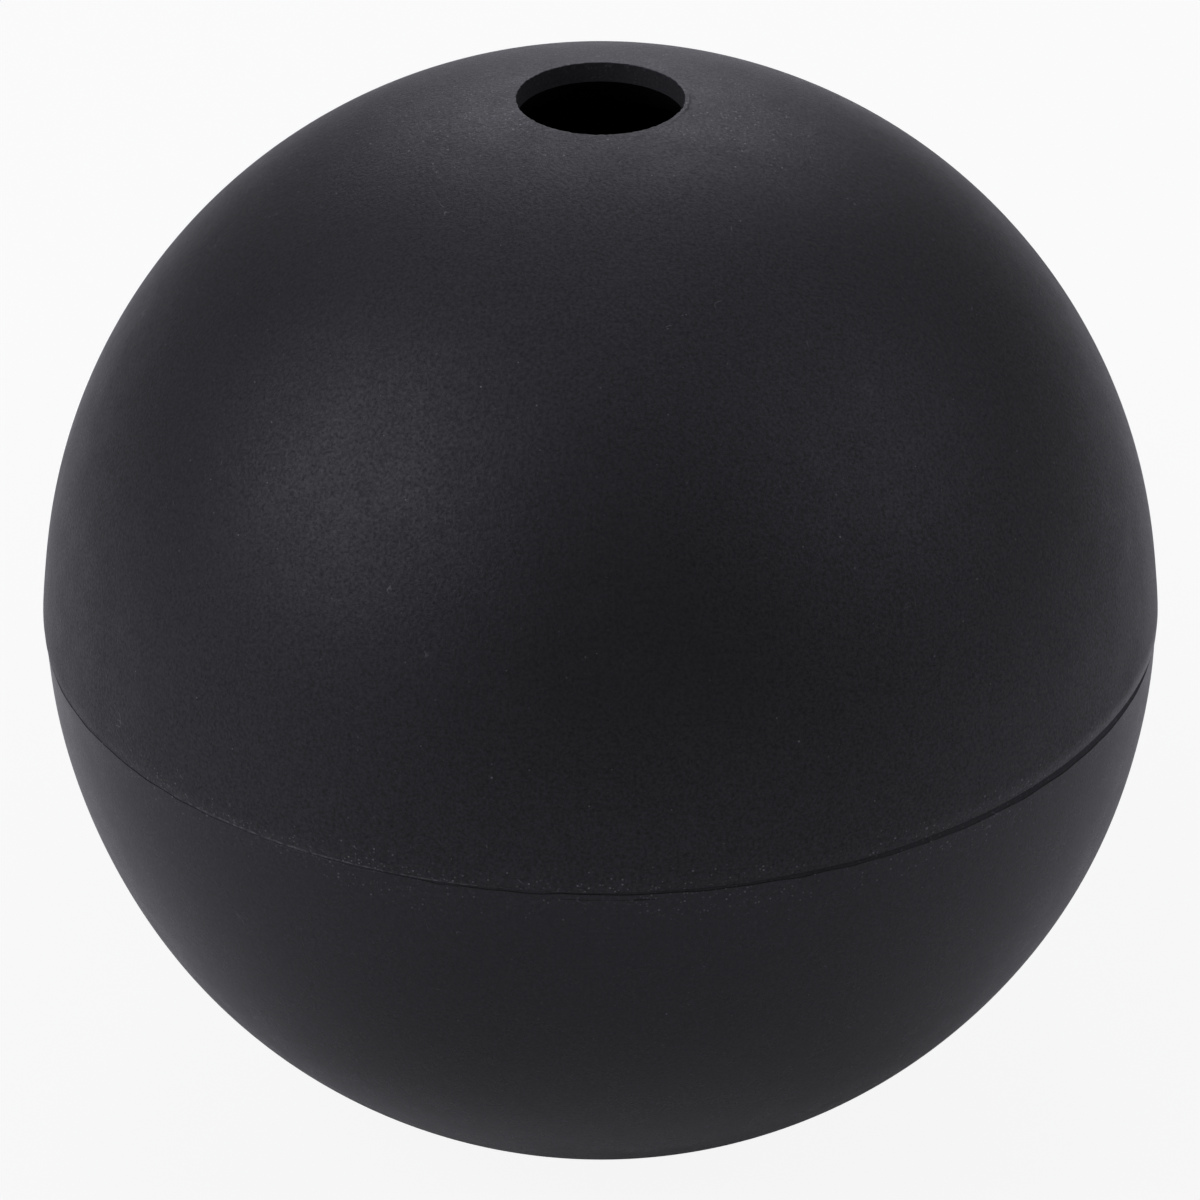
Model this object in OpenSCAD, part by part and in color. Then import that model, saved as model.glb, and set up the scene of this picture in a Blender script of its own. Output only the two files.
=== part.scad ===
// Ice ball mold: two soft silicone shells that close into a ball with a round cavity.
// The bottom half is a bowl that stands on a flat foot and carries a tongue round its rim.
// The top half is a dome with a fill hole, and a groove in its rim drops over the tongue.
// Both are turned about the Z axis. The origin is the middle of the foot, and +Z is up.

/* [Ball] */
// Diameter of the ice ball, which is the width of the cavity
ball_d = 63.5; // [40:0.5:90]
// Wall thickness of the bottom half
wall = 3.15; // [2.4:0.05:6]
// How far the top half's outside stands proud of the bottom half's
overhang = 0.1; // [0:0.05:0.6]
// Straight height at each rim, before the wall turns round
land = 0.4; // [0.3:0.05:3]

/* [Foot] */
// Thickness left between the flat foot and the lowest point of the cavity
foot_t = 1.5; // [0.6:0.1:2.4]

/* [Fill hole] */
// Diameter of the fill hole
fill_d = 10.2; // [6:0.1:13]
// Height of the fill hole's straight wall, the lip
lip_t = 1.3; // [0.6:0.1:2.4]
// Diameter at which the relief under the lip opens into the cavity
relief_d = 15; // [14:0.5:24]
// Radius on the lip's outer edge
mouth_r = 0.1; // [0.05:0.05:0.4]

/* [Seam] */
// Width of the tongue on the bottom half's rim
tongue_w = 1.1; // [0.8:0.05:1.6]
// Height of the tongue above the seam
tongue_h = 2; // [1:0.1:4]
// Gap between the tongue and the groove, all round
tongue_fit = 0.1; // [0.05:0.01:0.2]
// Width of the gap that shows between the two outer rims
reveal = 0.24; // [0.1:0.02:0.5]
// Radius on the outer edge of each rim
rim_r = 0.1; // [0.05:0.05:0.3]

/* [Hidden] */
$fn = 192;
silicone = "#2a2a2d";

ball_r = ball_d / 2;
fill_r = fill_d / 2;
relief_r = relief_d / 2;
bottom_r = ball_r + wall;
top_r = bottom_r + overhang;

// Heights above the foot: the bowl's centre, the seam and the dome's centre
bowl_z = foot_t + ball_r;
seam_z = bowl_z + land;
dome_z = seam_z + land;

// Height of a round of radius r, centred on the axis at z, at a distance x from the axis
function round_z(r, z, x) = z + sqrt(r * r - x * x);

mouth_z = round_z(top_r, dome_z, fill_r);
lip_z = mouth_z - lip_t;

// The relief slopes from the lip to the cavity's surface, and its cut runs on past it
relief_z = round_z(ball_r, dome_z, relief_r);
relief_run_on = 1.5;
relief_end = [fill_r, lip_z] + relief_run_on * [relief_r - fill_r, relief_z - lip_z];

// The tongue runs round the middle of the bottom half's wall
tongue_x = ball_r + wall / 2;

// Half of a ball's section with a straight stretch: a round of radius r at z, carried to z2
module capsule_section(r, z, z2) {
    translate([0, z]) circle(r);
    translate([0, min(z, z2)]) square([r, abs(z2 - z)]);
}

// What a round of radius r takes off a square corner that points along +X and +Y
module corner_waste(r) {
    difference() {
        square(2 * r);
        circle(r);
    }
}

// Section of the tongue, an upright bar with a round crest, grown by gap on every side
module tongue_section(gap = 0) {
    half_w = tongue_w / 2 + gap;
    crest_z = seam_z + tongue_h - tongue_w / 2;
    root_z = seam_z - reveal;
    translate([tongue_x - half_w, root_z]) square([2 * half_w, crest_z - root_z]);
    translate([tongue_x, crest_z]) circle(half_w);
}

// Waste at the lip's outer edge, where a round of radius mouth_r joins the hole to the dome
module mouth_waste() {
    x = fill_r + mouth_r;
    lean = asin(x / (top_r - mouth_r));
    // The round's centre is set by its drop from the dome's crown
    crown_z = dome_z + top_r;
    drop = crown_z - round_z(top_r - mouth_r, dome_z, x);
    translate([x, crown_z]) translate([0, -drop]) difference() {
        polygon([
            [0, 0],
            [2 * mouth_r * sin(lean), 2 * mouth_r * cos(lean)],
            [-2 * mouth_r, 2 * mouth_r],
            [-2 * mouth_r, 0]
        ]);
        circle(mouth_r);
    }
}

module bottom_half_section() {
    difference() {
        union() {
            // Bowl between the foot and the seal face, which reaches out to the tongue
            difference() {
                intersection() {
                    capsule_section(bottom_r, bowl_z, seam_z);
                    square([bottom_r, seam_z]);
                }
                // The rim outside the tongue is cut back and rounded
                translate([tongue_x, seam_z - reveal / 2]) square([bottom_r, reveal]);
                translate([bottom_r - rim_r, seam_z - reveal / 2 - rim_r]) corner_waste(rim_r);
            }
            tongue_section();
        }
        capsule_section(ball_r, bowl_z, seam_z + tongue_h);
    }
}

module top_half_section() {
    difference() {
        // Dome above the seam
        intersection() {
            capsule_section(top_r, dome_z, seam_z);
            translate([0, seam_z]) square([top_r, dome_z + top_r - seam_z]);
        }
        capsule_section(ball_r, dome_z, seam_z - land);
        // Fill hole, its relief on the inside and its rounded edge
        translate([0, dome_z]) square([fill_r, top_r]);
        polygon([[0, lip_z], [fill_r, lip_z], relief_end, [0, relief_end[1]]]);
        mouth_waste();
        // Groove, and the rim outside it, which is cut back and rounded
        tongue_section(tongue_fit);
        translate([tongue_x, seam_z - reveal / 2]) square([top_r, reveal]);
        translate([top_r - rim_r, seam_z + reveal / 2 + rim_r]) mirror([0, 1]) corner_waste(rim_r);
    }
}

module bottom_half() {
    color(silicone) rotate_extrude() bottom_half_section();
}

module top_half() {
    color(silicone) rotate_extrude() top_half_section();
}

bottom_half();
top_half();
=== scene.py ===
# Looks of the ice ball mold: two matte black silicone shells, closed into a ball on a white table.
import math

import bpy
import numpy as np
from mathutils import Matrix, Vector

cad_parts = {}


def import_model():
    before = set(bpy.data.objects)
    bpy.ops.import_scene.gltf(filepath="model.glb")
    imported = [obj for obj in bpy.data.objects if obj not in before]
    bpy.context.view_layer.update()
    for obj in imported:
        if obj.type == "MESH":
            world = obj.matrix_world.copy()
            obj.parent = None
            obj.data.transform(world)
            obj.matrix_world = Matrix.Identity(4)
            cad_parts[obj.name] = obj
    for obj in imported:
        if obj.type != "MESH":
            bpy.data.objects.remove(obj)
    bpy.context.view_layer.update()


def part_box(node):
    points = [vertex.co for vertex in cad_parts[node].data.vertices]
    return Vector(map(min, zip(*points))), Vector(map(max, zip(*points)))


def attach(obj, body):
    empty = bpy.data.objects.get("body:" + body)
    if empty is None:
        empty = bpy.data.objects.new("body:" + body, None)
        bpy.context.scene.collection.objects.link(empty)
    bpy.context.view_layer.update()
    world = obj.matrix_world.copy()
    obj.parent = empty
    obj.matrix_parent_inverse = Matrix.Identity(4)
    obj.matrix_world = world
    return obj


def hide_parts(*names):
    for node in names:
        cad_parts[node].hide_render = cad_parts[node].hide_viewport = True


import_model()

# The shells' sections are drawn in millimetres, and the scene is in metres
MM = 0.001

# The seam's height and the outer radii, from the frame
bottom_low, bottom_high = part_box("bottom_half")
top_low, top_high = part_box("top_half")
SEAM_Z = top_low.z / MM
TOP_R = (top_high.x - top_low.x) / 2 / MM
BOTTOM_R = (bottom_high.x - bottom_low.x) / 2 / MM
# A straight land at each rim sets the dome's centre above the seam and the bowl's below it
LAND = 0.4
DOME_Z = SEAM_Z + LAND
BOWL_Z = SEAM_Z - LAND
BALL_R = 31.75
# Away from its rim the soft bowl sinks in a little
BOWL_R = BOTTOM_R - 0.10

# Fill hole, the height of its lip's lower edge and the radius where the relief meets the cavity
FILL_R = 5.1
LIP_Z = 67.376
RELIEF_R = 7.5
# The soft hole is a little longer from front to back than across, and more so at the back
HOLE_LONGER = 0.08
HOLE_BACK = 0.03
# Its mouth has a small round edge, and is ragged down to a short way below it
MOUTH_EDGE_R = 0.06
RAGGED_DEPTH = 0.2
# A thin raised burr stands beside the mouth's right edge
BURR = 0.05
BURR_ANGLE = math.radians(82)
BURR_SPAN = 0.45
BURR_OUT = 0.18
BURR_REACH = 0.07

# Width of the foot's soft edge on each side of its corner
FOOT_EDGE = 0.9
# Where the rows of points stop short of the axis: on the foot, and as an angle in the cavity
POLE_R = 0.6
POLE_ANGLE = 0.02

# Tongue, the groove over it, the centre of its round crest and the gap at each seal face
TONGUE_X = (BALL_R + BOTTOM_R) / 2
TONGUE_HALF = 0.55
GROOVE_HALF = 0.65
CREST_Z = SEAM_Z + 1.45
SEAL_GAP = 0.01

# Angles round the axis: 0 faces the camera, and they grow to the camera's right
TURNS = 384
turn = np.arange(TURNS) * (2 * math.pi / TURNS)
# The same angles from minus half a turn to half a turn, and how far each faces left or right
from_front = (turn + math.pi) % (2 * math.pi) - math.pi
on_left = np.maximum(0, -np.sin(turn)) ** 2
on_right = np.maximum(0, np.sin(turn)) ** 2


def waviness(seed, harmonics, size):
    """A smooth closed line round the axis that wanders by about size, the same on every run."""
    rng = np.random.default_rng(seed)
    line = np.zeros(TURNS)
    for n in harmonics:
        line += rng.normal() * np.sin(n * turn + rng.uniform(0, 2 * math.pi))
    return size * line / math.sqrt(len(harmonics) / 2)


def hump(distance, reach):
    """1 at no distance, and next to nothing at twice the reach."""
    return np.exp(-(distance / reach) ** 2)


# Heights of the two outer rims above the seam: the top half sits a little proud on the right
top_rim = (0.37 + 0.26 * np.sin(turn) - 0.13 * np.cos(2 * turn) - 0.20 * on_left ** 4
           + 0.07 * on_right - 0.8 * on_right ** 12 + 0.05 * hump(from_front + 0.2, 0.3)
           + waviness(5, range(5, 30), 0.012))
bottom_rim = (0.07 - 0.02 * np.sin(turn) + 0.02 * hump(from_front - 0.1, 0.35)
              + 0.08 * on_right - 0.15 * on_right ** 8
              - 0.06 * on_left ** 2 - 0.08 * on_left ** 4 - 0.5 * on_left ** 8
              + waviness(6, range(5, 24), 0.010) + waviness(7, range(30, 90), 0.022))
LEAST_OPENING = 0.03
bottom_rim = np.minimum(bottom_rim, top_rim - LEAST_OPENING)
# Behind its rim the bowl slopes up to just under the dome, so the seam is a shallow groove
seam_depth = 0.03 + 0.10 * on_right + 0.03 * on_left
SHOULDER_GAP = 0.02
# Both rims flare out a little, and the top one rolls in again just above its edge
TOP_EDGE_R = 0.04
top_flare = 0.06 + 0.05 * on_left + 0.03 * on_left ** 4 + 0.07 * on_right ** 4
TOP_FLARE_REACH = 2.5
top_roll_in = 0.06 + 0.05 * hump(from_front + 0.55, 0.35)
TOP_ROLL_REACH = 0.5
bottom_edge = 0.05 - 0.01 * on_left - 0.01 * on_right
BOTTOM_FLARE = 0.15
BOTTOM_FLARE_REACH = 7.0
# On the left a bead runs under the bowl's rim
bottom_bead = 0.06 * on_left
BOTTOM_BEAD_REACH = 1.0
# The soft bowl sits a little to the right in the groove, and bulges that way below its rim
BOTTOM_SHIFT_X = 0.04
BULGE = 0.10
BULGE_DEPTH = 14.0
BULGE_REACH = 7.0
# A faint crease runs along the bowl's front just under its rim
crease = np.maximum(0, 0.025 + waviness(8, range(30, 120), 0.012)) * hump(from_front - 0.02, 0.12)
CREASE_DEPTH = 0.30
CREASE_REACH = 0.04
# Height of the band of close rows at each rim
RIM_ROWS = 1.6

# Numbers of the materials on a shell, and the angle above which an edge is sharp
OUTSIDE, INSIDE, LIP, SEAM = 0, 1, 2, 3
SHARP_ANGLE = math.radians(40)


def stretch(r0, z0, r1, z1, count):
    """Points on a straight line in the section, without its last one."""
    t = np.linspace(0, 1, count, endpoint=False)[:, None]
    return r0 + (r1 - r0) * t, z0 + (z1 - z0) * t


def bend(r, z, radius, start, end, count):
    """Points on a round in the section, without its last one; angles run from +r towards +z."""
    a = np.radians(np.linspace(start, end, count, endpoint=False))[:, None]
    return r + radius * np.cos(a), z + radius * np.sin(a)


def eased(count):
    """Steps from 0 to 1, finer at both ends, without the last one."""
    return (0.5 - 0.5 * np.cos(math.pi * np.linspace(0, 1, count, endpoint=False)))[:, None]


def rows(near, middle, far, near_count, far_count):
    """Levels from near to far: even and close up to middle, then eased, without the last one."""
    close = near + (middle - near) * np.linspace(0, 1, near_count, endpoint=False)[:, None]
    return np.concatenate([close, middle + (far - middle) * eased(far_count)])


def lathe(name, stretches, shift_x=0.0, ends_on_axis=False):
    """Turns a section into a closed mesh. Each stretch of it is (r, z, material number), where r
    and z have a row for each level and either one column or one for each angle."""
    rs = np.concatenate([np.broadcast_to(r, (len(r), TURNS)) for r, z, number in stretches])
    zs = np.concatenate([np.broadcast_to(z, (len(r), TURNS)) for r, z, number in stretches])
    skin = np.concatenate([np.full(len(r), number) for r, z, number in stretches])
    levels = len(rs)
    points = np.stack([rs * np.sin(turn) + shift_x, -rs * np.cos(turn), zs], axis=-1) * MM
    vertices = points.reshape(-1, 3)
    # Each face joins two neighbours on one level to the two on the next
    here = np.arange(levels * TURNS).reshape(levels, TURNS)
    along = np.roll(here, -1, axis=1)
    up = np.roll(here, -1, axis=0)
    up_along = np.roll(along, -1, axis=0)
    last = levels - 1 if ends_on_axis else levels
    faces = np.stack([here, along, up_along, up], axis=-1)[:last].reshape(-1, 4).tolist()
    numbers = np.repeat(skin[:last], TURNS)
    if ends_on_axis:
        first_pole, last_pole = len(vertices), len(vertices) + 1
        poles = [[shift_x * MM, 0, zs[0, 0] * MM], [shift_x * MM, 0, zs[-1, 0] * MM]]
        vertices = np.concatenate([vertices, poles])
        faces += [[first_pole, b, a] for a, b in zip(here[0], along[0])]
        faces += [[last_pole, a, b] for a, b in zip(here[-1], along[-1])]
        numbers = np.concatenate([numbers, np.full(TURNS, skin[0]), np.full(TURNS, skin[-1])])
    mesh = bpy.data.meshes.new(name)
    mesh.from_pydata(vertices.tolist(), [], faces)
    mesh.polygons.foreach_set("material_index", numbers.astype(np.int32))
    mesh.shade_smooth()
    mesh.set_sharp_from_angle(angle=SHARP_ANGLE)
    mesh.validate()
    piece = bpy.data.objects.new(name, mesh)
    bpy.context.scene.collection.objects.link(piece)
    return piece


def top_half():
    """The dome, with its fill hole, the groove in its rim and the cavity's upper half."""
    rim_z = SEAM_Z + top_rim
    wall_low = rim_z + TOP_EDGE_R
    lip_r = FILL_R + HOLE_LONGER * np.cos(turn) ** 2 - HOLE_BACK * np.cos(turn)
    hole_r = lip_r + waviness(11, range(3, 80), 0.018)
    burr = BURR * hump(turn - BURR_ANGLE, BURR_SPAN) + waviness(12, range(2, 40), 0.003)
    # Dome, from the rim up to the mouth
    edge_r = hole_r + MOUTH_EDGE_R
    low = np.arcsin((wall_low - DOME_Z) / TOP_R)
    high = np.arccos(edge_r / TOP_R)
    lat = rows(low, low + RIM_ROWS / TOP_R, high, 32, 140)
    dome_r = TOP_R * np.cos(lat)
    dome_z = DOME_Z + TOP_R * np.sin(lat)
    above = dome_z - wall_low
    dome_r = dome_r + top_flare * hump(above, TOP_FLARE_REACH)
    dome_r = dome_r - top_roll_in * hump(above, TOP_ROLL_REACH)
    dome_z = dome_z + burr * hump(dome_r - edge_r - BURR_OUT, BURR_REACH)
    # Round edge of the mouth, which starts along the dome's own slope there
    edge_z = DOME_Z + np.sqrt(TOP_R ** 2 - edge_r ** 2) - MOUTH_EDGE_R
    mouth = bend(edge_r, edge_z, MOUTH_EDGE_R, 82, 180, 10)
    # Lip, relief and cavity
    ragged = stretch(hole_r, edge_z, lip_r, edge_z - RAGGED_DEPTH, 4)
    lip = stretch(lip_r, edge_z - RAGGED_DEPTH, lip_r, LIP_Z, 8)
    relief_z = DOME_Z + math.sqrt(BALL_R ** 2 - RELIEF_R ** 2)
    relief = stretch(lip_r, LIP_Z, RELIEF_R, relief_z, 8)
    lat = math.acos(RELIEF_R / BALL_R) * (1 - eased(60))
    cavity = BALL_R * np.cos(lat), DOME_Z + BALL_R * np.sin(lat)
    # Band, seal face and groove
    seal_z = SEAM_Z + SEAL_GAP
    groove_near, groove_far = TONGUE_X - GROOVE_HALF, TONGUE_X + GROOVE_HALF
    band = stretch(BALL_R, DOME_Z, BALL_R, seal_z, 3)
    seal = stretch(BALL_R, seal_z, groove_near, seal_z, 4)
    groove_in = stretch(groove_near, seal_z, groove_near, CREST_Z, 5)
    groove_top = bend(TONGUE_X, CREST_Z, GROOVE_HALF, 180, 0, 16)
    groove_out = stretch(groove_far, CREST_Z, groove_far, rim_z, 5)
    # Rim
    edge_start = dome_r[0] - TOP_EDGE_R
    under = stretch(groove_far, rim_z, edge_start, rim_z, 5)
    rim_edge = bend(edge_start, wall_low, TOP_EDGE_R, -90, 0, 12)
    return lathe("top_shell", [
        (dome_r, dome_z, OUTSIDE),
        (*mouth, OUTSIDE),
        (*ragged, LIP),
        (*lip, LIP),
        (*relief, INSIDE),
        (*cavity, INSIDE),
        (*band, INSIDE),
        (*seal, INSIDE),
        (*groove_in, INSIDE),
        (*groove_top, INSIDE),
        (*groove_out, INSIDE),
        (*under, SEAM),
        (*rim_edge, OUTSIDE),
    ])


def bottom_half():
    """The bowl, with its flat foot, the tongue on its rim and the cavity's lower half."""
    rim_z = SEAM_Z + bottom_rim
    wall_high = rim_z - bottom_edge
    # Foot, and its soft edge, a curve that starts flat and ends on the bowl
    foot_r = math.sqrt(BOWL_R ** 2 - BOWL_Z ** 2)
    start_r = foot_r - FOOT_EDGE
    foot = stretch(POLE_R, 0, start_r, 0, 12)
    low = -math.acos((foot_r + FOOT_EDGE) / BOWL_R)
    end_r, end_z = BOWL_R * math.cos(low), BOWL_Z + BOWL_R * math.sin(low)
    t = np.linspace(0, 1, 10, endpoint=False)[:, None]
    soft_r = (1 - t) ** 2 * start_r + 2 * t * (1 - t) * foot_r + t ** 2 * end_r
    soft_z = t ** 2 * end_z
    # Bowl up to the rim; above its centre the wall is straight
    high = (wall_high - BOWL_Z) / BOWL_R
    lat = rows(high, high - RIM_ROWS / BOWL_R, low + 0 * high, 80, 120)[::-1]
    bowl_r = BOWL_R * np.cos(np.minimum(lat, 0))
    bowl_z = BOWL_Z + BOWL_R * np.where(lat < 0, np.sin(lat), lat)
    below = wall_high - bowl_z
    bowl_r = bowl_r + BOTTOM_FLARE * hump(below, BOTTOM_FLARE_REACH)
    bowl_r = bowl_r + bottom_bead * hump(below, BOTTOM_BEAD_REACH)
    bowl_r = bowl_r - crease * hump(below - CREASE_DEPTH, CREASE_REACH)
    bowl_r = bowl_r + BULGE * np.sin(turn) * hump(below - BULGE_DEPTH, BULGE_REACH)
    # Rim and the slope behind it
    edge_end = bowl_r[-1] - bottom_edge
    rim_edge = bend(edge_end, wall_high, bottom_edge, 0, 90, 10)
    step_r = edge_end - seam_depth
    shoulder_z = SEAM_Z + top_rim - SHOULDER_GAP
    slope = stretch(edge_end, rim_z, step_r, shoulder_z, 8)
    # Tongue, seal face and band
    seal_z = SEAM_Z - SEAL_GAP
    tongue_near, tongue_far = TONGUE_X - TONGUE_HALF, TONGUE_X + TONGUE_HALF
    shoulder = stretch(step_r, shoulder_z, tongue_far, shoulder_z, 4)
    tongue_out = stretch(tongue_far, shoulder_z, tongue_far, CREST_Z, 6)
    tongue_top = bend(TONGUE_X, CREST_Z, TONGUE_HALF, 0, 180, 16)
    tongue_in = stretch(tongue_near, CREST_Z, tongue_near, seal_z, 6)
    seal = stretch(tongue_near, seal_z, BALL_R, seal_z, 4)
    band = stretch(BALL_R, seal_z, BALL_R, BOWL_Z, 3)
    # Cavity, down to the axis
    lat = (math.pi / 2 - POLE_ANGLE) * np.linspace(0, 1, 70)[:, None]
    cavity = BALL_R * np.cos(lat), BOWL_Z - BALL_R * np.sin(lat)
    return lathe("bottom_shell", [
        (*foot, OUTSIDE),
        (soft_r, soft_z, OUTSIDE),
        (bowl_r, bowl_z, OUTSIDE),
        (*rim_edge, OUTSIDE),
        (*slope, SEAM),
        (*shoulder, INSIDE),
        (*tongue_out, INSIDE),
        (*tongue_top, INSIDE),
        (*tongue_in, INSIDE),
        (*seal, INSIDE),
        (*band, INSIDE),
        (*cavity, INSIDE),
    ], shift_x=BOTTOM_SHIFT_X, ends_on_axis=True)


def feed(tree, socket, value):
    """Links a socket to another node's output, or sets it to a number or a colour."""
    if isinstance(value, bpy.types.NodeSocket):
        tree.links.new(value, socket)
    elif isinstance(value, tuple):
        socket.default_value = (*value, 1.0)
    else:
        socket.default_value = value


def add(tree, kind, **settings):
    """A new shader node with its settings; a key that names an input feeds that input."""
    made = tree.nodes.new(kind)
    for key, value in settings.items():
        if key in made.inputs:
            feed(tree, made.inputs[key], value)
        else:
            setattr(made, key, value)
    return made


def axes(tree, where):
    """The three parts of a position: to the right, to the back and up."""
    return add(tree, "ShaderNodeSeparateXYZ", Vector=where).outputs


def noise(tree, where, scale, detail, roughness=0.5):
    """Smooth noise from 0 to 1, with scale as its number of waves in a metre."""
    made = add(tree, "ShaderNodeTexNoise", Vector=where, Scale=scale, Detail=detail,
               Roughness=roughness)
    return made.outputs["Fac"]


def spread(tree, value, source, target, smooth=False):
    """Maps a value from the source range to the target range, and holds it at the ends."""
    made = add(tree, "ShaderNodeMapRange", clamp=True, Value=value)
    if smooth:
        made.interpolation_type = "SMOOTHSTEP"
    for key, number in zip(("From Min", "From Max", "To Min", "To Max"), (*source, *target)):
        made.inputs[key].default_value = number
    return made.outputs["Result"]


def arithmetic(tree, operation, *values):
    """One result from two or more outputs or numbers, taken in their order."""
    result = values[0]
    for value in values[1:]:
        made = add(tree, "ShaderNodeMath", operation=operation)
        feed(tree, made.inputs[0], result)
        feed(tree, made.inputs[1], value)
        result = made.outputs[0]
    return result


def away_from(tree, value, middle):
    """How far a value is from a middle, on either side of it."""
    return arithmetic(tree, "ABSOLUTE", arithmetic(tree, "SUBTRACT", value, middle), 0)


def mix_colour(tree, share, first, second):
    """Two colours mixed: share is the second one's part."""
    made = add(tree, "ShaderNodeMix", data_type="RGBA")
    # The colour sockets come after the node's number and vector sockets
    for place, value in ((0, share), (6, first), (7, second)):
        feed(tree, made.inputs[place], value)
    return made.outputs[2]


def mix_shader(tree, share, first, second):
    """Two shaders mixed: share is the second one's part."""
    made = add(tree, "ShaderNodeMixShader")
    for socket, value in zip(made.inputs, (share, first, second)):
        feed(tree, socket, value)
    return made.outputs[0]


def mm(low, high):
    """A range in millimetres, as metres."""
    return low * MM, high * MM


# Near black silicone, a little blue where it shines, with pale dust; the dust colour also paints a
# highlight line along the dome's edge
SILICONE_DARK = (0.008, 0.008, 0.0088)
SILICONE_LIGHT = (0.015, 0.015, 0.0164)
SILICONE_IOR = 1.42
SHINE_TINT = (0.95, 0.93, 1.0)
SHEEN_ROUGHNESS = 0.2
DUST_AND_HIGHLIGHT = (0.30, 0.30, 0.31)
# Waves in a metre of its broad tone and its patches of gloss, and the size of its grain
BROAD_SCALE = 55
PATCH_SCALE = 420
GRAIN_SIZE = 0.00021
GRAIN_ROUGHNESS = 0.75
# How far the grain moves the roughness for each unit of shine, since shinier grains are smoother
GRAIN_GLOSS = 0.25
# Ranges that hold most of a noise's values
NOISE_NARROW = (0.3, 0.7)
NOISE_WIDE = (0.25, 0.75)
# Where, from left to right, the seam's left part, made paler by more painted light, fades into the
# rest
PAINTED_LIGHT_LEFT_FADE = mm(-26, -12)

# Kinds of dust: cells in a metre, the luck from which a cell's speck shows and at which it is
# full, and the full radius in metres
FINE = dict(scale=2600.0, rare=0.87, full=1.15, radius=0.000048)
COARSE = dict(scale=620.0, rare=0.77, full=1.15, radius=0.000090)
POWDER = dict(scale=4600.0, rare=0.965, full=1.0, radius=0.000064)
CRUMBS = dict(scale=900.0, rare=1.0, full=1.3, radius=0.00018)
CRUMB_STRENGTH = 2.5
# Most specks are faint: the power that their brightness follows, and the least of it
FAINT_POWER = 2.5
FAINTEST = 0.15

# How much luck each place adds
SEAM_CROWD = 0.54
HOLE_CROWD = 0.55
EDGE_CROWD = 0.60
SETTLED_CROWD = 0.15
MOUTH_CROWD = 0.6
LINT_CROWD = 0.12

# Lint: waves in a metre of its curl and its places, how thin a hair is and how strong
LINT_CURL = 800
LINT_PLACES = 700
LINT_SHIFT = (0.31, 0.17, 0.53)
LINT_THIN = 0.010
LINT_STRENGTH = 0.6


def specks(tree, where, crowd, scale, rare, full, radius):
    """Tiny round dust: its amount at each point, from 0 to 1, with more where crowd is high.
    A cell's luck plus crowd gives its speck no size at rare, and the whole radius at full."""
    cells = add(tree, "ShaderNodeTexVoronoi", Vector=where, Scale=scale)
    chance = add(tree, "ShaderNodeSeparateColor", Color=cells.outputs["Color"]).outputs
    luck = arithmetic(tree, "ADD", chance["Red"], crowd)
    size = spread(tree, luck, (rare, full), (0.0, radius * scale))
    dot = arithmetic(tree, "LESS_THAN", cells.outputs["Distance"], size)
    mostly_faint = arithmetic(tree, "POWER", chance["Green"], FAINT_POWER)
    return arithmetic(tree, "MULTIPLY", dot, spread(tree, mostly_faint, (0, 1), (FAINTEST, 1.0)))


def above_seam(tree, height, full, none):
    """1 from the dome's edge up to full above the seam, and fades to 0 at none, in millimetres."""
    return arithmetic(tree, "MULTIPLY",
                      spread(tree, height, mm(SEAM_Z + 0.12, SEAM_Z + 0.17), (0.0, 1.0)),
                      spread(tree, height, mm(SEAM_Z + full, SEAM_Z + none), (1.0, 0.0)))


def left_front(tree, across):
    """1 left of the ball's front, and 0 on its left side and right of its front."""
    return arithmetic(tree, "MULTIPLY",
                      spread(tree, across, mm(-28, -23), (0.0, 1.0)),
                      spread(tree, across, mm(-14, 6), (1.0, 0.0)))


def edge_dust_and_highlight(tree, where):
    """A thin beaded pale line on the dome's edge, left of the front: dust that sticks there, and a
    painted highlight of the edge.
    """
    across, back, height = axes(tree, where)
    return arithmetic(tree, "MULTIPLY",
                      above_seam(tree, height, 0.27, 0.36),
                      left_front(tree, across),
                      spread(tree, noise(tree, where, 2600, 4.0), (0.42, 0.66), (0.06, 0.90)))


def dust_crowd(tree, where):
    """Dust gathers along the seam, behind the fill hole and on the dome's edge, front left."""
    across, back, height = axes(tree, where)
    at_seam = spread(tree, away_from(tree, height, SEAM_Z * MM), mm(0.2, 2.2), (SEAM_CROWD, 0.0))
    at_hole = arithmetic(tree, "MULTIPLY",
                         spread(tree, height, mm(66.4, 67.8), (0.0, HOLE_CROWD)),
                         spread(tree, back, mm(-5, -1), (0.0, 1.0)))
    at_edge = arithmetic(tree, "MULTIPLY",
                         above_seam(tree, height, 0.45, 1.2), left_front(tree, across), EDGE_CROWD)
    uneven = spread(tree, noise(tree, where, 90, 1.0), (0.35, 0.65), (0.35, 1.2))
    total = arithmetic(tree, "MULTIPLY", arithmetic(tree, "ADD", at_seam, at_hole), uneven)
    return arithmetic(tree, "ADD", total, at_edge)


def high_at_back(tree, where, rises, backs, rights, amount):
    """An amount that comes in with height and towards the back, and halves to the right; each
    range says between which two places."""
    across, back, height = axes(tree, where)
    return arithmetic(tree, "MULTIPLY",
                      spread(tree, height, rises, (0.0, amount)),
                      spread(tree, back, backs, (0.0, 1.0)),
                      spread(tree, across, rights, (1.0, 0.5)))


def settled_dust(tree, where):
    """Fine powder settles on the dome's upper part, most of it at the back and on the left."""
    return high_at_back(tree, where, mm(58, 64), mm(-9, 3), mm(-10, 25), SETTLED_CROWD)


def at_mouth(tree, where):
    """Crumbs of dust lie close to the fill hole, at its back and its left."""
    return high_at_back(tree, where, mm(67.8, 68.4), mm(-4, 0), mm(-2, 8), MOUTH_CROWD)


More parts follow.
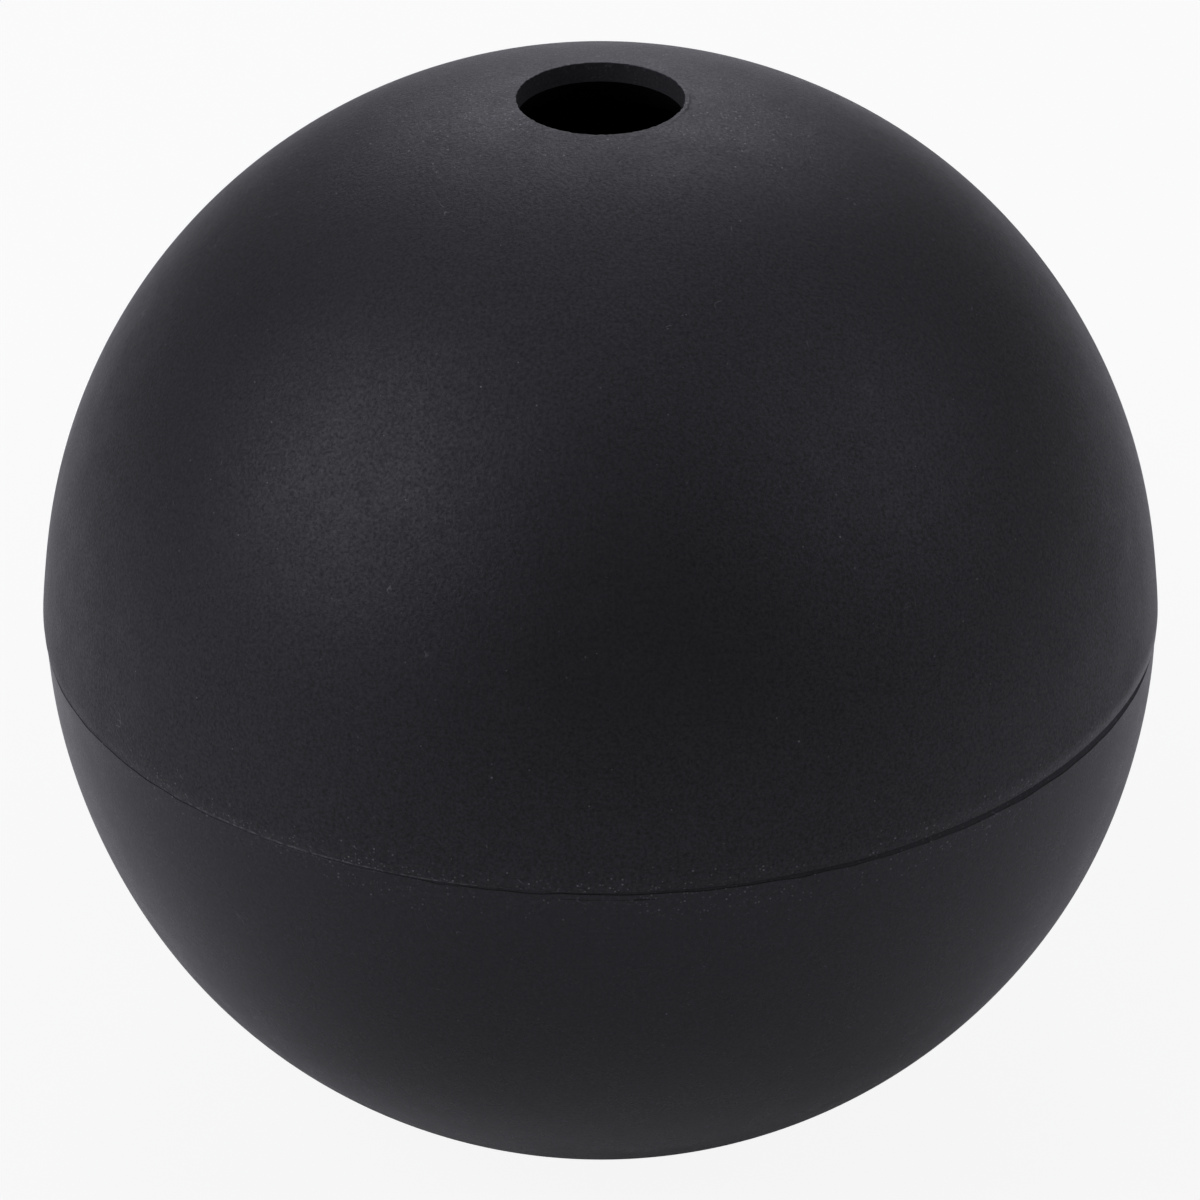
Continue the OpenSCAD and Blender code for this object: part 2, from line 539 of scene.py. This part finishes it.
def lint(tree, where, crowd):
    """Short curved hairs: where one noise crosses its middle, in the few places another allows."""
    line = away_from(tree, noise(tree, where, LINT_CURL, 1.0), 0.5)
    hair = arithmetic(tree, "LESS_THAN", line, LINT_THIN)
    moved = add(tree, "ShaderNodeVectorMath", operation="ADD", Vector=where)
    moved.inputs[1].default_value = LINT_SHIFT
    place = arithmetic(tree, "ADD", noise(tree, moved.outputs[0], LINT_PLACES, 1.0),
                       arithmetic(tree, "MULTIPLY", crowd, LINT_CROWD))
    return arithmetic(tree, "MULTIPLY", hair,
                      spread(tree, place, (0.73, 0.77), (0.0, LINT_STRENGTH)))


def dust_and_edge_highlight(tree, where):
    """The amount of every kind of dust together, with the painted highlight line on the dome's
    edge; crumbs may go above 1.
    """
    crowd = dust_crowd(tree, where)
    powder_crowd = arithmetic(tree, "ADD", crowd, settled_dust(tree, where))
    crumbs = specks(tree, where, at_mouth(tree, where), **CRUMBS)
    return arithmetic(tree, "MAXIMUM",
                      specks(tree, where, crowd, **FINE),
                      specks(tree, where, crowd, **COARSE),
                      specks(tree, where, powder_crowd, **POWDER),
                      arithmetic(tree, "MULTIPLY", crumbs, CRUMB_STRENGTH),
                      lint(tree, where, crowd),
                      edge_dust_and_highlight(tree, where))


def right_rim(tree, where, amount):
    """An amount close above the seam on the right, and 0 elsewhere."""
    across, back, height = axes(tree, where)
    return arithmetic(tree, "MULTIPLY",
                      spread(tree, height, mm(SEAM_Z + 0.7, SEAM_Z + 1.8), (amount, 0.0)),
                      spread(tree, across, mm(18, 29), (0.0, 1.0)))


def paler(times):
    """The silicone's dark and light tone, each this many times as light; above 1 this is painted
    light.
    """
    return [tuple(times * c for c in colour) for colour in (SILICONE_DARK, SILICONE_LIGHT)]


def silicone(name, rough, grain_height, shine, grain_shine, dust=0.0, pale=1.0, painted_light_left=None,
             sheen=0.0, smooth_rim=0.0):
    """Moulded silicone: broad tone, fine grain in bump and shine, uneven gloss and a little dust,
    with a painted highlight in the dust colour along the dome's edge. rough is the range of its
    roughness, and shine plus or minus grain_shine that of its specular level. Its two pale
    settings lighten the whole of it and its left part as painted light, and smooth_rim makes the
    dome's edge smoother on the right."""
    material = bpy.data.materials.new(name)
    material.use_nodes = True
    tree = material.node_tree
    where = add(tree, "ShaderNodeTexCoord").outputs["Object"]
    broad = noise(tree, where, BROAD_SCALE, 3.0)
    grain = noise(tree, where, 1 / GRAIN_SIZE, 3.0, GRAIN_ROUGHNESS)
    patches = noise(tree, where, PATCH_SCALE, 3.0)
    # Colour
    tone = arithmetic(tree, "ADD", spread(tree, broad, NOISE_NARROW, (0, 0.6)),
                      spread(tree, grain, NOISE_NARROW, (0, 0.4)))
    colour = mix_colour(tree, tone, *paler(pale))
    # Painted light: the seam's left part is paler still
    if painted_light_left:
        across, back, height = axes(tree, where)
        right = spread(tree, across, PAINTED_LIGHT_LEFT_FADE, (0.0, 1.0))
        colour = mix_colour(tree, right, mix_colour(tree, tone, *paler(painted_light_left)), colour)
    # Dust, and a painted highlight along the dome's edge, both in the pale dust colour
    if dust:
        amount = arithmetic(tree, "MULTIPLY", dust_and_edge_highlight(tree, where), dust)
        colour = mix_colour(tree, amount, colour, DUST_AND_HIGHLIGHT)
    # Gloss and shine
    grain_gloss = GRAIN_GLOSS * grain_shine
    gloss = arithmetic(tree, "ADD", spread(tree, patches, NOISE_WIDE, rough),
                       spread(tree, grain, NOISE_WIDE, (grain_gloss, -grain_gloss)))
    if smooth_rim:
        gloss = arithmetic(tree, "SUBTRACT", gloss, right_rim(tree, where, smooth_rim))
    level = spread(tree, grain, NOISE_WIDE, (shine - grain_shine, shine + grain_shine))
    bump = add(tree, "ShaderNodeBump", Strength=1.0, Distance=grain_height, Height=grain)
    looks = {
        "Base Color": colour,
        "Roughness": gloss,
        "Specular IOR Level": level,
        "Normal": bump.outputs["Normal"],
        "IOR": SILICONE_IOR,
        "Specular Tint": SHINE_TINT,
        "Sheen Weight": sheen,
        "Sheen Roughness": SHEEN_ROUGHNESS,
    }
    shader = tree.nodes["Principled BSDF"]
    for key, value in looks.items():
        feed(tree, shader.inputs[key], value)
    return material


# White table, with painted shade that makes it a little greyer near the ball and towards the
# camera, and painted light that keeps it white under the ball
FLOOR_PAINTED_SHADE = (0.73, 0.73, 0.73)
FLOOR_FAR = (0.96, 0.96, 0.96)
# Its painted shadow is greyest in a ring round the ball: the distances from the ball's middle over
# which the painted white under the ball ends and the white comes back outside, and the share of
# that white
FLOOR_UNDER = mm(17, 28)
FLOOR_OUTSIDE = mm(40, 110)
FLOOR_WHITE = 0.9
# Towards the camera painted shade leaves less of the white: the range over which it falls, and
# what is left
FLOOR_BACK = mm(-160, -30)
FLOOR_FRONT_WHITE = 0.55
# Waves in a metre of its unevenness, and the share of it
FLOOR_UNEVEN_SCALE = 9
FLOOR_UNEVEN = 0.1
# Share of plain white that the camera sees in it
FLOOR_GLOW = 0.90
FLOOR_HALF = 2.0


def floor_material():
    """White table: it takes the ball's soft shadow, has a painted shadow round the ball and
    painted shade towards the camera, and looks white to the camera.
    """
    material = bpy.data.materials.new("white_table")
    material.use_nodes = True
    tree = material.node_tree
    tree.nodes.clear()
    where = add(tree, "ShaderNodeTexCoord").outputs["Object"]
    across, back, height = axes(tree, where)
    away = add(tree, "ShaderNodeVectorMath", operation="LENGTH", Vector=where).outputs["Value"]
    # Painted shadow in a ring round the ball and painted shade towards the camera; painted light
    # keeps it white under the ball
    outside = arithmetic(tree, "MULTIPLY",
                         spread(tree, away, FLOOR_OUTSIDE, (0.0, FLOOR_WHITE)),
                         spread(tree, back, FLOOR_BACK, (FLOOR_FRONT_WHITE, 1.0)))
    under = spread(tree, away, FLOOR_UNDER, (FLOOR_WHITE, 0.0))
    uneven = spread(tree, noise(tree, where, FLOOR_UNEVEN_SCALE, 2.0), NOISE_NARROW,
                    (0.0, FLOOR_UNEVEN))
    painted_shade_and_unevenness = arithmetic(tree, "ADD", arithmetic(tree, "MAXIMUM", outside, under), uneven)
    colour = mix_colour(tree, painted_shade_and_unevenness, FLOOR_PAINTED_SHADE, FLOOR_FAR)
    matte = add(tree, "ShaderNodeBsdfDiffuse", Color=colour)
    white = add(tree, "ShaderNodeEmission", Color=(1, 1, 1), Strength=1.0)
    seen = add(tree, "ShaderNodeLightPath").outputs["Is Camera Ray"]
    share = arithmetic(tree, "MULTIPLY", seen, FLOOR_GLOW)
    lit = mix_shader(tree, share, matte.outputs[0], white.outputs[0])
    # From below the table can be seen through
    below = add(tree, "ShaderNodeNewGeometry").outputs["Backfacing"]
    clear = add(tree, "ShaderNodeBsdfTransparent")
    sided = mix_shader(tree, below, lit, clear.outputs[0])
    add(tree, "ShaderNodeOutputMaterial", Surface=sided)
    return material


def floor():
    """The table, a wide square that the ball stands on."""
    mesh = bpy.data.meshes.new("table")
    h = FLOOR_HALF
    mesh.from_pydata([(-h, -h, 0), (h, -h, 0), (h, h, 0), (-h, h, 0)], [], [(0, 1, 2, 3)])
    mesh.materials.append(floor_material())
    table = bpy.data.objects.new("table", mesh)
    bpy.context.scene.collection.objects.link(table)


# Studio light, a little cooler than the white of the table
LIGHT_COLOUR = (0.92, 0.91, 1.0)
WORLD_BACK = 0.21
WORLD_FRONT = 0.135
# Where the front turns into the back, as the part of a direction that points to the back
WORLD_TURN = (-0.1, 0.6)
LAMP_DISTANCE = 0.50


def world():
    """White to the camera; as light, a bright backdrop behind the ball and a dim room in front."""
    made = bpy.data.worlds.new("studio")
    bpy.context.scene.world = made
    made.use_nodes = True
    tree = made.node_tree
    tree.nodes.clear()
    across, back, height = axes(tree, add(tree, "ShaderNodeTexCoord").outputs["Generated"])
    level = spread(tree, back, WORLD_TURN, (WORLD_FRONT, WORLD_BACK), smooth=True)
    room = add(tree, "ShaderNodeBackground", Color=LIGHT_COLOUR, Strength=level)
    white = add(tree, "ShaderNodeBackground", Color=(1, 1, 1), Strength=1.0)
    seen = add(tree, "ShaderNodeLightPath").outputs["Is Camera Ray"]
    mixed = mix_shader(tree, seen, room.outputs[0], white.outputs[0])
    add(tree, "ShaderNodeOutputWorld", Surface=mixed)


def softbox(name, turned, raised, width, power):
    """A round soft light that faces the ball. turned is its angle from the camera, to the right,
    and raised its angle above the table, both in degrees."""
    light = bpy.data.lights.new(name, "AREA")
    light.shape = "DISK"
    light.size = width
    light.energy = power
    light.color = LIGHT_COLOUR
    lamp = bpy.data.objects.new(name, light)
    bpy.context.scene.collection.objects.link(lamp)
    turned, raised = math.radians(turned), math.radians(raised)
    level = math.cos(raised)
    way = Vector((math.sin(turned) * level, -math.cos(turned) * level, math.sin(raised)))
    lamp.location = Vector((0, 0, DOME_Z * MM)) + way * LAMP_DISTANCE
    lamp.rotation_euler = way.to_track_quat("Z", "Y").to_euler()


# The photo's camera, fitted by the ball's outline, its seam and the fill hole
CAMERA_TILT = math.radians(29.38)
CAMERA_DISTANCE = 0.3924
SENSOR_WIDTH = 36.0
CLIP_START = 0.01
# The photo's side and the camera's focal length, in the photo's pixels
PHOTO_SIDE = 1200
PHOTO_FOCAL = 6206
# The dome's middle shows this many pixels right of and above the photo's middle
PHOTO_RIGHT, PHOTO_UP = 0.53, 3.31


def camera():
    """The camera that shows the ball as the photo does."""
    lens = bpy.data.cameras.new("camera")
    lens.sensor_fit = "AUTO"
    lens.sensor_width = SENSOR_WIDTH
    lens.lens = SENSOR_WIDTH * PHOTO_FOCAL / PHOTO_SIDE
    lens.clip_start = CLIP_START
    eye = bpy.data.objects.new("camera", lens)
    bpy.context.scene.collection.objects.link(eye)
    back = Vector((0, -math.cos(CAMERA_TILT), math.sin(CAMERA_TILT)))
    up = Vector((0, math.sin(CAMERA_TILT), math.cos(CAMERA_TILT)))
    right = Vector((1, 0, 0))
    middle = Vector((0, 0, DOME_Z * MM))
    pixel = CAMERA_DISTANCE / PHOTO_FOCAL
    eye.location = middle + back * CAMERA_DISTANCE
    aim = middle - (right * PHOTO_RIGHT + up * PHOTO_UP) * pixel
    eye.rotation_euler = (eye.location - aim).to_track_quat("Z", "Y").to_euler()
    bpy.context.scene.camera = eye


# The dome's dust amount also sets the strength of its painted edge highlight
dome_skin = silicone("silicone_dome", rough=(0.45, 0.53), grain_height=0.000030, shine=0.53,
                     grain_shine=0.25, dust=0.40, sheen=0.25, smooth_rim=0.22)
bowl_skin = silicone("silicone_bowl", rough=(0.26, 0.32), grain_height=0.000014, shine=0.51,
                     grain_shine=0.14, dust=0.30)
inside = silicone("silicone_inside", rough=(0.34, 0.42), grain_height=0.000005, shine=0.50,
                  grain_shine=0.05)
# The lip in the fill hole and the seam's groove are the same black silicone, painted paler as
# painted light on their shaded walls, the groove most on its left
lip = silicone("silicone_lip", rough=(0.78, 0.88), grain_height=0.000020, shine=0.50,
               grain_shine=0.15, dust=0.1, pale=2.1)
seam = silicone("silicone_seam", rough=(0.80, 0.90), grain_height=0.000020, shine=0.30,
                grain_shine=0.10, dust=0.2, pale=3.0, painted_light_left=6.5)

for build, outside, body, node in ((bottom_half, bowl_skin, "bottom", "bottom_half"),
                                   (top_half, dome_skin, "top", "top_half")):
    shell = build()
    # In the order of the numbers OUTSIDE, INSIDE, LIP and SEAM
    for skin in (outside, inside, lip, seam):
        shell.data.materials.append(skin)
    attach(shell, body)
    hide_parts(node)

floor()
world()
softbox("left_softbox", turned=-66, raised=37, width=0.42, power=0.97)
softbox("right_softbox", turned=76, raised=35, width=0.42, power=0.39)
softbox("back_softbox", turned=180, raised=36.5, width=0.40, power=0.68)
softbox("top_softbox", turned=0, raised=88, width=0.40, power=0.22)
camera()
bpy.context.scene.view_settings.view_transform = "Standard"
